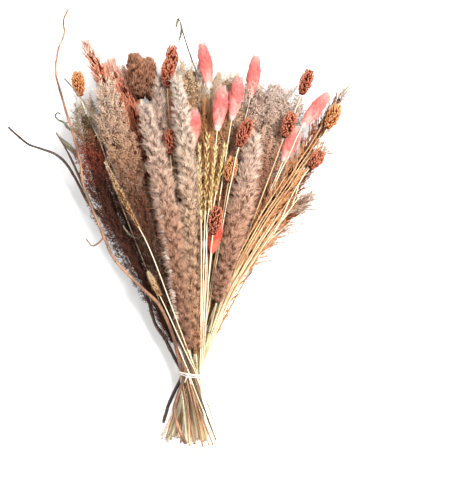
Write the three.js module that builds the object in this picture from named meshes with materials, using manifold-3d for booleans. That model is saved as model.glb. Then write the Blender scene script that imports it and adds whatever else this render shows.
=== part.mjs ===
// A tied bunch of dried grasses, seed heads and willow twigs, lying on its side on a table.
// Millimetres, +Z up, stems towards -Y and heads towards +Y.
//
// Every plant is one solid: a turned shape, stem and head together, bent along its own spine. The spines
// are laid out as round sections on evenly spaced levels across the bunch: the stems cross at the tie like
// a hand-tied bouquet, and at each level the sections push each other apart and rest on the table.
import * as THREE from 'three';
import { mergeVertices } from 'three/addons/utils/BufferGeometryUtils.js';
import Module from 'manifold-3d';

const wasm = await Module();
wasm.setup();

// ---- Overall sizes ----

const HEADS_WIDTH = 340; // across the fan of heads and twigs
const HEADS_REACH = 368; // from the tie to the highest twig
const HEADS_DEPTH = 116; // thickness of the heads as they lie
const STEMS_REACH = 68; // from the tie to the cut ends of most stems

// ---- How the bunch is held and how it lies ----

const TIE_HEIGHT = 27; // middle of the tied stems above the table
const AXIS_RISE = 0.1; // climb of the bunch's middle line, per millimetre towards the heads
const SPIRAL = 36; // how far from the tie a stem has come halfway round the bunch's middle
const CLEARANCE = 0.7; // left between neighbours
const TIED_CLEARANCE = 0.4; // left between them in the tie
const TIED_RADIUS = 11.4; // of all the stems together where the twine holds them
const TIE_REACH = 30; // how near the tie the curly twigs too give way to the stems round them
const TIE_GAP = 0.35; // between the twine and the stems it holds
const TWINE_BAND = 5.4; // width of the wound turns
const TWINE_THICKNESS = 1.5;
const TIE_SLANT = 0.16; // turn of the tie about the vertical, in radians
const KNOT_RADIUS = 2.5;

// ---- The kinds of plant ----

// stem and head are radii, belly is how far up the head it is widest, and blunt is under 1 for a rounded
// head and over 1 for a pointed one.
const KINDS = {
  pampas: { stem: 1.4, head: 8.6, belly: 0.48, blunt: 0.9, sides: 8, colour: 0xcdb69f },
  broom: { stem: 0.95, head: 12.5, belly: 0.72, blunt: 0.9, sides: 8, colour: 0xa48c78 },
  salmonReed: { stem: 1.05, head: 6.0, belly: 0.5, blunt: 0.9, sides: 6, colour: 0xc07a5e },
  brownReed: { stem: 1.05, head: 6.2, belly: 0.5, blunt: 0.9, sides: 6, colour: 0x8f6444 },
  rustReed: { stem: 1.15, head: 7.4, belly: 0.45, blunt: 0.9, sides: 6, colour: 0x99583a },
  millet: { stem: 0.85, head: 7.6, belly: 0.55, blunt: 0.45, sides: 6, colour: 0xa87345 },
  canary: { stem: 0.7, head: 6.2, belly: 0.5, blunt: 0.6, sides: 6, colour: 0x9a5238 },
  bunnyTail: { stem: 0.7, head: 6.2, belly: 0.45, blunt: 0.6, sides: 6, colour: 0xee9f98 },
  oat: { stem: 0.75, head: 2.8, belly: 0.6, blunt: 0.9, sides: 6, colour: 0xc9bd74 },
  foxtail: { stem: 0.65, head: 2.8, belly: 0.6, blunt: 0.8, sides: 6, colour: 0xcdb091 },
  thinWillow: { stem: 0.95, head: 0.8, belly: 0.1, blunt: 0.4, sides: 6, colour: 0x6b4a39 },
};

// ---- The plants ----

// The places below are written for a fan of this size, and follow the overall sizes above.
const DRAWN = { width: 340, reach: 368, depth: 104, stems: 68 };

// The points that a head follows, from its base to its tip: across, from the tie, and above the table.
const PLANTS = {
  pampas_front_left: ['pampas', [-4, 36, 40], [-20, 156, 68], [-30, 206, 78], [-44, 266, 80]],
  pampas_front_middle: ['pampas', [4, 34, 40], [3, 136, 60], [0, 196, 70], [-12, 292, 76]],
  pampas_behind: ['pampas', [-10, 70, 36], [-20, 226, 50], [-33, 296, 54]],
  pampas_right: ['pampas', [28, 80, 44], [42, 136, 56], [55, 186, 62], [64, 238, 64]],
  pampas_under_left: ['pampas', [-14, 50, 22], [-38, 200, 18], [-58, 262, 16]],
  pampas_under_right: ['pampas', [12, 50, 20], [40, 190, 18], [60, 250, 18]],

  broom_left_outer: ['broom', [-36, 80, 38], [-74, 150, 44], [-92, 200, 48], [-106, 272, 50]],
  broom_left_pale: ['broom', [-24, 80, 50], [-54, 180, 66], [-84, 290, 66]],
  broom_left_inner: ['broom', [-26, 86, 32], [-62, 190, 36], [-82, 272, 34]],
  broom_left_under: ['broom', [-28, 84, 20], [-66, 170, 18], [-98, 248, 18]],
  broom_middle: ['broom', [8, 176, 50], [0, 314, 50]],
  broom_middle_right: ['broom', [22, 180, 44], [38, 302, 46]],
  broom_dome_left: ['broom', [42, 161, 44], [72, 292, 50]],
  broom_dome_right: ['broom', [54, 161, 36], [97, 286, 38]],
  broom_under_middle: ['broom', [0, 120, 16], [-8, 288, 18]],
  broom_under_right: ['broom', [40, 130, 16], [84, 268, 18]],

  salmon_reed_tall: ['salmonReed', [-48, 190, 54], [-74, 268, 60], [-103, 329, 60]],
  salmon_reed_middle: ['salmonReed', [-44, 200, 46], [-79, 312, 48]],
  salmon_reed_short: ['salmonReed', [-36, 190, 50], [-67, 302, 50]],
  brown_reed_column: ['brownReed', [16, 116, 58], [16, 270, 64]],
  brown_reed_dark: ['brownReed', [-24, 130, 44], [-52, 262, 44]],
  brown_reed_back: ['brownReed', [-8, 150, 30], [-24, 304, 34]],
  rust_reed_top: ['rustReed', [62, 140, 48], [110, 212, 52], [155, 286, 50]],
  rust_reed_middle: ['rustReed', [40, 90, 40], [84, 158, 44], [134, 228, 42]],
  rust_reed_low: ['rustReed', [34, 86, 28], [76, 140, 28], [122, 180, 24]],

  millet_left: ['millet', [-48, 274, 60], [-55, 317, 60]],
  millet_right: ['millet', [-38, 274, 52], [-43, 314, 52]],

  canary_top_right: ['canary', [111, 280, 54], [120, 306, 54]],
  canary_dome: ['canary', [93, 236, 68], [102, 262, 70]],
  canary_front: ['canary', [46, 226, 76], [60, 255, 78]],
  canary_right: ['canary', [114, 206, 58], [132, 224, 58]],
  canary_golden: ['canary', [135, 246, 58], [148, 271, 58]],
  canary_low: ['canary', [22, 140, 78], [28, 169, 82]],
  canary_left: ['canary', [-111, 278, 56], [-112, 304, 56]],
  canary_stacked: ['canary', [-23, 285, 64], [-21, 315, 64]],
  canary_stacked_back: ['canary', [-20, 302, 50], [-17, 331, 50]],
  canary_deep: ['canary', [-20, 220, 62], [-19, 246, 62]],
  canary_between: ['canary', [38, 192, 66], [43, 218, 66]],

  bunny_tail_tall: ['bunnyTail', [21, 286, 66], [12, 331, 66]],
  bunny_tail_front: ['bunnyTail', [27, 242, 82], [33, 286, 84]],
  bunny_tail_middle: ['bunnyTail', [41, 254, 70], [50, 297, 72]],
  bunny_tail_upper: ['bunnyTail', [61, 277, 60], [66, 319, 60]],
  bunny_tail_between: ['bunnyTail', [3, 228, 64], [5, 264, 64]],
  bunny_tail_right: ['bunnyTail', [107, 247, 62], [138, 281, 62]],
  bunny_tail_right_low: ['bunnyTail', [93, 214, 56], [107, 246, 56]],
  bunny_tail_red: ['bunnyTail', [21, 122, 66], [27, 156, 68]],
  bunny_tail_deep: ['bunnyTail', [-22, 240, 50], [-20, 276, 50]],

  oat_left: ['oat', [12, 138, 76], [10, 226, 84]],
  oat_middle: ['oat', [15, 146, 78], [18, 238, 80]],
  oat_right: ['oat', [18, 148, 80], [26, 226, 84]],
  oat_far_right: ['oat', [24, 172, 78], [35, 228, 78]],
  foxtail_upper: ['foxtail', [-42, 138, 74], [-60, 166, 80], [-82, 212, 80]],
  foxtail_lower: ['foxtail', [-26, 74, 58], [-41, 104, 62]],

  willow_top: ['thinWillow', [12, 296, 60], [0, 319, 62], [-6, 336, 62], [-9, 353, 60]],
  willow_upper_left: ['thinWillow', [-84, 240, 72], [-97, 263, 74], [-112, 286, 70], [-127, 297, 64]],
};

// Stems are cut by hand, so their ends differ by up to this much, and a few are left longer.
const STEM_UNEVENNESS = 9;
const GOLDEN = 0.618; // spreads the differences evenly over the plants
const LONG_STEMS = { canary_left: 86, millet_left: 82, bunny_tail_deep: 80 };

// The curly twigs keep their own course, and the other plants lie round it: thick is the radius at the
// foot, thin the one at the tip, and hint the place in the tie, from its middle.
const CURLY = {
  willow_orange: {
    colour: 0xa9683f, thick: 1.9, thin: 0.9, hint: [-6, 8],
    course: [
      [-4, -68, 46], [-13, -48, 46], [-16, -34, 44], [-12, -14, 41],
      [-13, 28, 43], [-30, 71, 56], [-52, 93, 62], [-75, 118, 64], [-84, 138, 64], [-98, 171, 64],
      [-105, 191, 64], [-108, 211, 62], [-114, 236, 60], [-122, 261, 58], [-128, 281, 54],
      [-134, 303, 50], [-132, 326, 46], [-126, 343, 44], [-127, 356, 42], [-122, 368, 42],
    ],
    sideTwigs: [
      { thick: 0.9, course: [[-85, 139, 64], [-90, 133, 66], [-96, 130, 66], [-102, 137, 66]] },
    ],
  },
  willow_dark: {
    colour: 0x4a3530, thick: 2.0, thin: 1.2, hint: [-9, 0],
    course: [
      [-28, -50, 20], [-20, -24, 24],
      [-18, 20, 27], [-26, 36, 26], [-36, 51, 24], [-43, 76, 22], [-48, 96, 20], [-55, 114, 20],
      [-64, 131, 22], [-76, 146, 24], [-92, 161, 26], [-105, 176, 28], [-115, 196, 30],
      [-128, 216, 30], [-143, 226, 32], [-158, 230, 34], [-168, 236, 34], [-184, 250, 32],
    ],
    sideTwigs: [
      { thick: 1.8, course: [[-100, 170, 27], [-112, 200, 36], [-124, 226, 38], [-135, 244, 36]] },
      { thick: 1.6, course: [[-66, 134, 22], [-76, 152, 32], [-86, 164, 34]] },
    ],
  },
};

// ---- Levels and how closely they are followed ----

const LEVEL_STEP = 4;
const ROUNDS = 900; // of easing and pushing apart
const GROWING_ROUNDS = 400; // the first ones, in which every section grows from nothing to its full width
const FIRM_ROUNDS = 300; // the last ones, which hardly ease
const EASE = 0.35; // how far a section moves towards its neighbours' middle
const LOOSE_PULL = 0.012; // how far it moves towards the place it aims for
const FIRM_EASE = 0.04;
const FIRM_PULL = 0.002;
const SPINE_STEP = 1;
const BEND_TOLERANCE = 0.2; // of a spine between two rings
const ROUND_TOLERANCE = 0.5; // of a head's outline between two rings
const TIP_RADIUS = 0.35; // below this a plant ends in a point
const SIDE_TWIG_TIP = 0.5; // radius at its end
const SIDE_TWIG_RINGS = 3; // between two points of its course
const SIDE_TWIG_SIDES = 6;
const TIE_SIDES = 28;

// ---- Paths ----

const scaled = ([x, y, z]) => new THREE.Vector3(
  x * HEADS_WIDTH / DRAWN.width,
  y * (y > 0 ? HEADS_REACH / DRAWN.reach : STEMS_REACH / DRAWN.stems),
  z > TIE_HEIGHT ? TIE_HEIGHT + (z - TIE_HEIGHT) * HEADS_DEPTH / DRAWN.depth : z,
);

// The place at one distance along a path whose points rise in y: a smooth curve through them all.
function placeAt(points, y) {
  const slope = (a, b) => b.clone().sub(a).divideScalar(b.y - a.y);
  const last = points.length - 1;
  if (y <= points[0].y) return points[0].clone().addScaledVector(slope(points[0], points[1]), y - points[0].y);
  if (y >= points[last].y) {
    return points[last].clone().addScaledVector(slope(points[last - 1], points[last]), y - points[last].y);
  }
  const i = points.findIndex((point) => point.y > y) - 1;
  const [from, to] = [points[i], points[i + 1]];
  const leave = slope(points[Math.max(i - 1, 0)], to);
  const arrive = slope(from, points[Math.min(i + 2, last)]);
  const gap = to.y - from.y;
  const t = (y - from.y) / gap;
  return from.clone().multiplyScalar((1 + 2 * t) * (1 - t) ** 2)
    .addScaledVector(leave, gap * t * (1 - t) ** 2)
    .addScaledVector(to, t * t * (3 - 2 * t))
    .addScaledVector(arrive, gap * t * t * (t - 1));
}

const axisHeight = (y) => TIE_HEIGHT + AXIS_RISE * y;

// A straight stem that reaches one place and crosses the others at the tie: the lean it needs, and where
// that lean puts it at any distance from the tie. Across and up are turned against each other by SPIRAL.
function leanTo({ x, y, z }) {
  const up = z - axisHeight(y);
  const size = y * y + SPIRAL * SPIRAL;
  return { x: (y * x - SPIRAL * up) / size, z: (y * up + SPIRAL * x) / size };
}

function leaning(lean, y) {
  const x = lean.x * y + SPIRAL * lean.z;
  const z = lean.z * y - SPIRAL * lean.x + axisHeight(y);
  return new THREE.Vector3(x, y, z);
}

// ---- Sections of the plants on the levels ----

// Half the width, in one direction across the bunch, of a round stem that passes the level at a slant.
const widthTowards = (section, x, z) => section.width * Math.hypot(1, section.slopeX * x + section.slopeZ * z);

function plantOf(name, index) {
  const [kindName, ...points] = PLANTS[name];
  const kind = KINDS[kindName];
  const head = points.map(scaled);
  const lean = leanTo(head[0]);
  const base = head[0].y;
  const top = head.at(-1).y;
  const uneven = STEM_UNEVENNESS * (((index * GOLDEN) % 1) - 0.5);
  const foot = -(LONG_STEMS[name] ?? STEMS_REACH + uneven);
  const swellPower = Math.log(0.5) / Math.log(kind.belly);
  const radiusAt = (y) => {
    const up = THREE.MathUtils.clamp((y - base) / (top - base), 0, 1);
    const swell = Math.max(Math.sin(Math.PI * up ** swellPower), 0) ** kind.blunt;
    return Math.max(kind.head * swell, kind.stem * (1 - up));
  };
  const aimAt = (y) => (y < base ? leaning(lean, y) : placeAt(head, y));
  return { name, kind, foot, top, radiusAt, aimAt };
}

function curlyOf(name) {
  const { colour, thick, thin, hint, course, sideTwigs } = CURLY[name];
  const points = course.map(scaled);
  const foot = points[0].y;
  const top = points.at(-1).y;
  const tied = new THREE.Vector3(hint[0], 0, TIE_HEIGHT + hint[1]);
  points.splice(points.findIndex((point) => point.y > 0), 0, tied);
  const radiusAt = (y) => THREE.MathUtils.mapLinear(y, foot, top, thick, thin);
  const kind = { colour, sides: 6 };
  return { name, kind, foot, top, radiusAt, aimAt: (y) => placeAt(points, y), sideTwigs };
}

// A level stands for half a step to each side of it, so a section is as wide as the plant gets there.
function addSections(plant) {
  plant.sections = [];
  for (let level = Math.ceil(plant.foot / LEVEL_STEP); level * LEVEL_STEP <= plant.top; level++) {
    const y = level * LEVEL_STEP;
    const aim = plant.aimAt(y);
    const radius = Math.max(...[-0.5, 0, 0.5].map((side) => plant.radiusAt(y + side * LEVEL_STEP)));
    const held = plant.sideTwigs && Math.abs(y) > TIE_REACH;
    plant.sections.push({ level, y, aim, radius, held, x: aim.x, z: aim.z });
  }
}

function measure({ sections }, grown) {
  sections.forEach((section, i) => {
    section.width = section.radius * grown;
    const before = sections[Math.max(i - 1, 0)];
    const after = sections[Math.min(i + 1, sections.length - 1)];
    section.slopeX = (after.x - before.x) / (after.y - before.y);
    section.slopeZ = (after.z - before.z) / (after.y - before.y);
  });
}

// Moves each pair that is too close apart, the thinner one further, and keeps all of them on the table.
function pushApart(sections, grown) {
  const nearTie = Math.max(1 - Math.abs(sections[0].y) / TIE_REACH, 0);
  const clear = grown * THREE.MathUtils.lerp(CLEARANCE, TIED_CLEARANCE, nearTie);
  for (let i = 1; i < sections.length; i++) {
    for (let j = 0; j < i; j++) {
      const [a, b] = [sections[i], sections[j]];
      const apart = Math.hypot(a.x - b.x, a.z - b.z) || TIED_CLEARANCE;
      const x = (a.x - b.x) / apart;
      const z = (a.z - b.z) / apart;
      const short = widthTowards(a, x, z) + widthTowards(b, x, z) + clear - apart;
      if (short <= 0 || (a.held && b.held)) continue;
      const shareA = a.held ? 0 : b.held ? 1 : b.radius / (a.radius + b.radius);
      a.x += x * short * shareA;
      a.z += z * short * shareA;
      b.x -= x * short * (1 - shareA);
      b.z -= z * short * (1 - shareA);
    }
  }
  for (const section of sections) {
    if (!section.held) section.z = Math.max(section.z, widthTowards(section, 0, 1));
  }
}

// The twine presses in every stem that reaches outside it.
function pressIn(sections) {
  for (const section of sections) {
    const away = Math.hypot(section.x, section.z - TIE_HEIGHT) || TIED_CLEARANCE;
    const x = section.x / away;
    const z = (section.z - TIE_HEIGHT) / away;
    const outside = Math.max(away + widthTowards(section, x, z) - TIED_RADIUS, 0);
    section.x -= x * outside;
    section.z -= z * outside;
  }
}

// Moves each free section towards the straight line between its neighbours, and towards its aim.
function ease({ sections }, towardsLine, towardsAim) {
  const last = sections.length - 1;
  sections.forEach((section, i) => {
    if (section.held) return;
    const inner = sections[THREE.MathUtils.clamp(i, 1, last - 1)];
    const [before, after] = [sections[Math.max(i - 1, 0)], sections[Math.min(i + 1, last)]];
    for (const axis of ['x', 'z']) {
      const end = i === 0 ? 2 * inner[axis] - sections[2][axis] : 2 * inner[axis] - sections[last - 2][axis];
      const line = inner === section ? (before[axis] + after[axis]) / 2 : end;
      section[axis] += towardsLine * (line - section[axis]) + towardsAim * (section.aim[axis] - section[axis]);
    }
  });
}

function settle(plants) {
  const levels = Map.groupBy(plants.flatMap((plant) => plant.sections), (section) => section.level);
  for (let round = 0; round < ROUNDS; round++) {
    const firm = round >= ROUNDS - FIRM_ROUNDS;
    const grown = Math.min(round / GROWING_ROUNDS, 1);
    for (const plant of plants) {
      ease(plant, firm ? FIRM_EASE : EASE, firm ? FIRM_PULL : LOOSE_PULL);
      measure(plant, grown);
    }
    for (const sections of levels.values()) {
      if (Math.abs(sections[0].y) < TWINE_BAND) pressIn(sections);
      pushApart(sections, grown);
    }
  }
}

// ---- Solids ----

// Where each plant runs after settling, in close steps: its place, its direction and its radius.
function spineOf(plant) {
  const points = plant.sections.map(({ x, y, z }) => new THREE.Vector3(x, y, z));
  const samples = [];
  const steps = Math.ceil((plant.top - plant.foot) / SPINE_STEP);
  for (let step = 0; step <= steps; step++) {
    const y = THREE.MathUtils.lerp(plant.foot, plant.top, step / steps);
    const place = placeAt(points, y);
    const radius = plant.radiusAt(y);
    place.z = Math.max(place.z, radius);
    samples.push({ place, radius });
  }
  return samples;
}

// The samples that a straight line between the kept ones would miss.
function neededSamples(samples) {
  const [first, last] = [samples[0], samples.at(-1)];
  let worst = 1;
  let split = 0;
  for (let i = 1; i < samples.length - 1; i++) {
    const t = (samples[i].place.y - first.place.y) / (last.place.y - first.place.y);
    const bend = samples[i].place.distanceTo(first.place.clone().lerp(last.place, t)) / BEND_TOLERANCE;
    const swell = Math.abs(samples[i].radius - THREE.MathUtils.lerp(first.radius, last.radius, t));
    const miss = Math.max(bend, swell / ROUND_TOLERANCE);
    if (miss > worst) [worst, split] = [miss, i];
  }
  if (!split) return [first, last];
  return [...neededSamples(samples.slice(0, split + 1)), ...neededSamples(samples.slice(split)).slice(1)];
}

// A turned shape with one ring for each sample, bent so that each ring lies across the spine there.
function bentTurning(samples, sides) {
  const rings = samples.filter(({ radius }) => radius > TIP_RADIUS);
  const centres = [rings[0].place, ...rings.map(({ place }) => place), samples.at(-1).place];
  const profile = [
    new THREE.Vector2(0, 0),
    ...rings.map(({ radius }, i) => new THREE.Vector2(radius, i + 1)),
    new THREE.Vector2(0, rings.length + 1),
  ];
  const body = new THREE.LatheGeometry(profile, sides);
  const vertices = body.attributes.position;
  for (let i = 0; i < vertices.count; i++) {
    const ring = Math.round(vertices.getY(i));
    const before = centres[Math.max(ring - 1, 1)];
    const after = centres[Math.min(ring + 1, rings.length)];
    const along = after.clone().sub(before).normalize();
    const side = new THREE.Vector3(along.y, -along.x, 0).normalize();
    const up = side.clone().cross(along);
    const place = centres[ring].clone().addScaledVector(side, vertices.getX(i)).addScaledVector(up, vertices.getZ(i));
    vertices.setXYZ(i, ...place);
  }
  return body;
}

function solidOf(geometry) {
  const bare = geometry.clone();
  bare.deleteAttribute('normal');
  bare.deleteAttribute('uv');
  const { attributes, index } = mergeVertices(bare);
  return new wasm.Manifold(new wasm.Mesh({
    numProp: 3,
    vertProperties: Float32Array.from(attributes.position.array),
    triVerts: Uint32Array.from(index.array),
  }));
}

function joined(geometries) {
  const { vertProperties, triVerts } = geometries.map(solidOf).reduce((a, b) => a.add(b)).getMesh();
  const geometry = new THREE.BufferGeometry();
  geometry.setAttribute('position', new THREE.BufferAttribute(vertProperties, 3));
  geometry.setIndex(new THREE.BufferAttribute(triVerts, 1));
  return geometry;
}

function sideTwig({ thick, course }, parent) {
  const points = course.map(scaled);
  points[0] = placeAt(parent.sections.map(({ x, y, z }) => new THREE.Vector3(x, y, z)), points[0].y);
  const steps = SIDE_TWIG_RINGS * (points.length - 1);
  const samples = new THREE.CatmullRomCurve3(points).getSpacedPoints(steps).map((place, i) => ({
    place,
    radius: THREE.MathUtils.lerp(thick, SIDE_TWIG_TIP, i / steps),
  }));
  return bentTurning(samples, SIDE_TWIG_SIDES);
}

function plantMesh(plant) {
  const stemAndHead = bentTurning(neededSamples(spineOf(plant)), plant.kind.sides);
  const twigs = (plant.sideTwigs ?? []).map((twig) => sideTwig(twig, plant));
  return named(plant.name, twigs.length ? joined([stemAndHead, ...twigs]) : stemAndHead, plant.kind.colour);
}

function named(name, geometry, colour) {
  const material = new THREE.MeshStandardMaterial({ color: colour, roughness: 0.85, metalness: 0 });
  const mesh = new THREE.Mesh(geometry, material);
  mesh.name = name;
  return mesh;
}

// The twine goes round all the stems a little aslant, with its knot on top.
function twineTie(plants) {
  const slant = new THREE.Matrix4().makeRotationZ(TIE_SLANT).setPosition(0, 0, TIE_HEIGHT);
  const unslant = slant.clone().invert();
  const held = plants.flatMap(spineOf)
    .map(({ place, radius }) => ({ local: place.clone().applyMatrix4(unslant), radius }))
    .filter(({ local }) => Math.abs(local.y) < TWINE_BAND)
    .map(({ local, radius }) => Math.hypot(local.x, local.z) + radius);
  const inner = (Math.max(...held) + TIE_GAP) / Math.cos(Math.PI / TIE_SIDES);
  const outer = inner + TWINE_THICKNESS;
  const half = TWINE_BAND / 2;
  const edge = TWINE_THICKNESS / 3;
  const section = [
    [inner, -half + edge], [inner + edge, -half], [outer - edge, -half], [outer, -half + edge],
    [outer, half - edge], [outer - edge, half], [inner + edge, half], [inner, half - edge],
    [inner, -half + edge],
  ].map(([r, y]) => new THREE.Vector2(r, y));
  const ring = new THREE.LatheGeometry(section, TIE_SIDES);
  const knot = new THREE.SphereGeometry(KNOT_RADIUS, 12, 8);
  knot.translate(0, 0, inner + KNOT_RADIUS);
  return named('twine_tie', joined([ring, knot]).applyMatrix4(slant), 0xe9e4da);
}

// ---- The bunch ----

const plants = [...Object.keys(PLANTS).map(plantOf), ...Object.keys(CURLY).map(curlyOf)];
plants.forEach(addSections);
settle(plants);

const bunch = new THREE.Group();
bunch.add(...plants.map(plantMesh), twineTie(plants));

// The origin is under the middle of the bunch, on the table.
const box = new THREE.Box3().setFromObject(bunch, true);
const middle = box.getCenter(new THREE.Vector3());
bunch.position.set(-middle.x, -middle.y, -box.min.z);

export default bunch;
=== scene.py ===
"""A tied bunch of dried grasses, seed heads and curly willow, lying on a pale table.

Every plant follows the middle line of its solid in the frame. Shapes are worked out in millimetres, and
each finished mesh is brought to metres at the end.
"""

import math
import random

import bmesh
import bpy
import numpy as np
from mathutils import Matrix, Quaternion, Vector, geometry, noise


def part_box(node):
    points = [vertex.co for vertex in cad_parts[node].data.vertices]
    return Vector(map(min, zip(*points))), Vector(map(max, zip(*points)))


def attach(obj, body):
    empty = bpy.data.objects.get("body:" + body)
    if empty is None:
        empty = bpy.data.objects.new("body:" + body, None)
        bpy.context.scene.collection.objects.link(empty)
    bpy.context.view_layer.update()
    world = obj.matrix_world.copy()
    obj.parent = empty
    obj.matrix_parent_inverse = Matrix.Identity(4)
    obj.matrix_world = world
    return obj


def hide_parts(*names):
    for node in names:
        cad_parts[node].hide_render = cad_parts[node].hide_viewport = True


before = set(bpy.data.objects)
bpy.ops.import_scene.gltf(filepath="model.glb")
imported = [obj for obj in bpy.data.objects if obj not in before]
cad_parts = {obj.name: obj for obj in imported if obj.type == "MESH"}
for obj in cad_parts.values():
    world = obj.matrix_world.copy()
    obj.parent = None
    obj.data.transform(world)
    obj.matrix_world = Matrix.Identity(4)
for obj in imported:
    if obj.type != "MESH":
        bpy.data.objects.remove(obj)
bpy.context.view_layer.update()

MM = 0.001
MAP = "OFBake"  # the UV map of every plant: root to tip across, place along the head upwards
HEAD_BAND = 0.78  # share of the map's height that the head takes
STEM_BAND = (0.85, 0.99)  # where the stem lies in the map's height
CAP_ON_MAP = 0.003  # radius of the place that the flat end of a tube has on the map
GOLDEN_TURN = math.pi * (3 - math.sqrt(5))
UP = Vector((0, 0, 1))


# ---- The middle line of each plant ----

STEP = 1.5  # spacing of the points along a middle line
SMOOTHING = 8  # passes that round the corners between the frame's rings
LOWEST = 12  # corners looked at to find the middle of the cut end
HEAD_SWELL = 1.25  # the head starts where a plant is this much thicker than its stem


def rings_of(node):
    """The rings of corners of a turned solid, from its cut end to its tip: centre and radius of each."""
    bm = bmesh.new()
    bm.from_mesh(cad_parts[node].data)
    bmesh.ops.remove_doubles(bm, verts=bm.verts, dist=1e-7)
    lowest = sorted(bm.verts, key=lambda v: v.co.y)[:LOWEST]

    def off_centre(vert):
        around = [e.other_vert(vert).co for e in vert.link_edges]
        return (sum(around, Vector()) / len(around) - vert.co).length

    ring = [min(lowest, key=off_centre)]
    seen = set(ring)
    rings = []
    while ring:
        centre = sum((v.co for v in ring), Vector()) / len(ring)
        radius = sum((v.co - centre).length for v in ring) / len(ring)
        rings.append((centre / MM, radius / MM))
        around = {e.other_vert(v) for v in ring for e in v.link_edges}
        ring = [v for v in around if v not in seen]
        seen.update(ring)
    bm.free()
    return rings


class Course:
    """A plant's middle line from its cut end to its tip, with a radius and a turning frame at each step."""

    def __init__(self, node):
        rings = rings_of(node)
        centres = np.array([c for c, _ in rings])
        radii = np.array([r for _, r in rings])
        along = np.concatenate([[0], np.cumsum(np.linalg.norm(np.diff(centres, axis=0), axis=1))])
        count = max(8, round(along[-1] / STEP)) + 1
        steps = np.linspace(0, along[-1], count)
        line = np.stack([np.interp(steps, along, centres[:, k]) for k in range(3)], axis=1)
        for _ in range(SMOOTHING):
            line[1:-1] = (line[:-2] + 2 * line[1:-1] + line[2:]) / 4
        self.steps = steps
        self.length = along[-1]
        self.line = line
        self.radii = np.interp(steps, along[1:], radii[1:])
        self.stem = float(np.median(self.radii[2 : count // 4]))
        thick = np.nonzero(self.radii > HEAD_SWELL * self.stem)[0]
        self.head_start = steps[thick[0]] if len(thick) else self.length
        self.turns = turns_along([Vector(p) for p in line])

    def radius(self, s):
        return float(np.interp(s, self.steps, self.radii))

    def frame(self, s):
        """The place at s millimetres from the cut end, with +Z along the plant."""
        index = min(len(self.turns) - 1, max(0, round(s / self.steps[1])))
        place = Vector([np.interp(s, self.steps, self.line[:, k]) for k in range(3)])
        return Matrix.Translation(place) @ self.turns[index].to_matrix().to_4x4()

    def head(self, t):
        """How far along the plant the share t of its head is."""
        return self.head_start + t * (self.length - self.head_start)


def turns_along(points):
    """For each point the turn that takes +Z to the way the line runs, with as little twist as can be."""
    turns = []
    turn = Quaternion()
    for k in range(len(points)):
        before = points[max(0, k - 1)]
        after = points[min(len(points) - 1, k + 1)]
        way = (after - before).normalized()
        turn = (turn @ UP).rotation_difference(way) @ turn
        turns.append(turn.copy())
    return turns


# ---- Tubes, strands and seeds ----


def map_of(bm):
    return bm.loops.layers.uv.get(MAP) or bm.loops.layers.uv.new(MAP)


def tube(bm, points, radii, sides, on_map, material=0):
    """A closed tube along points, drawn to a point at its far end where the last radius is nought.
    on_map gives the place on the map from the share of the length and the share of the way round."""
    layer = map_of(bm)
    turns = turns_along(points)
    ring = bmesh.ops.create_circle(bm, segments=sides, radius=1.0)["verts"]
    round_it = [v.co.copy() for v in ring]
    first = list({e for v in ring for e in v.link_edges})
    edges = first
    order = {v: k for k, v in enumerate(ring)}
    last = len(points) - 1

    def shape(level, verts):
        for v, k in verts.items():
            v.co = points[level] + turns[level] @ (round_it[k] * max(radii[level], 1e-4))

    shape(0, order)
    for level in range(1, last + 1):
        made = bmesh.ops.extrude_edge_only(bm, edges=edges)["geom"]
        fresh = {}
        for v in made:
            if isinstance(v, bmesh.types.BMVert):
                fresh[v] = next(order[w] for w in (e.other_vert(v) for e in v.link_edges) if w in order)
        far = [e for e in made if isinstance(e, bmesh.types.BMEdge)]
        edges = [e for e in far if all(v in fresh for v in e.verts)]
        shape(level, fresh)
        for face in (f for f in made if isinstance(f, bmesh.types.BMFace)):
            face.material_index = material
            face.smooth = True
            around = [fresh.get(loop.vert, order.get(loop.vert)) for loop in face.loops]
            wraps = 0 in around and sides - 1 in around
            for loop, k in zip(face.loops, around):
                share = (sides if wraps and k == 0 else k) / sides
                at = (level if loop.vert in fresh else level - 1) / last
                loop[layer].uv = on_map(at, share)
        order = fresh
    cap(bm, layer, first, on_map, 0.0, material)
    if radii[-1] > 0:
        cap(bm, layer, edges, on_map, 1.0, material)
    else:
        bmesh.ops.pointmerge(bm, verts=list(order), merge_co=points[-1])


def cap(bm, layer, edges, on_map, at, material):
    """Closes a tube's end with one flat face."""
    for face in bmesh.ops.contextual_create(bm, geom=edges)["faces"]:
        face.material_index = material
        spread_on_map(layer, face, Vector(on_map(at, 0.5)))


def spread_on_map(layer, face, centre):
    """Gives a face a small round place of its own on the map."""
    for k, loop in enumerate(face.loops):
        angle = 2 * math.pi * k / len(face.loops)
        loop[layer].uv = centre + Vector((math.cos(angle), math.sin(angle))) * CAP_ON_MAP


def strand_map(root, tip, height, band=0.004):
    """A strand's place on the map: root to tip across, and one narrow band upwards."""
    return lambda at, share: (root + (tip - root) * at, height + band * share)


def hair(bm, root, way, length, bend, width, height, levels=3, u=(0.03, 1.0), sides=3):
    """One hair that starts at root, runs along way and bends over towards bend."""
    points = []
    radii = []
    for level in range(levels):
        at = level / (levels - 1)
        points.append(root + way * (length * at) + bend * (length * at * at))
        radii.append(width * (1 - at ** 2.2) if level < levels - 1 else 0.0)
    tube(bm, points, radii, sides, strand_map(u[0], u[1], height))


def straight(bm, root, way, length, width, height, u=(0.03, 1.0)):
    """One short hair that does not bend."""
    hair(bm, root, way, length, Vector(), width, height, levels=2, u=u)


def seed(bm, at, way, length, width, height, u=(0.66, 1.0), sides=4):
    """One seed or spikelet, pointed at both ends."""
    points = [at, at + way * (length * 0.4), at + way * length]
    tube(bm, points, [0.12 * width, width, 0.0], sides, strand_map(u[0], u[1], height))


OWN_MAP = {}  # each shape's places on the map, before it is strewn


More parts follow.
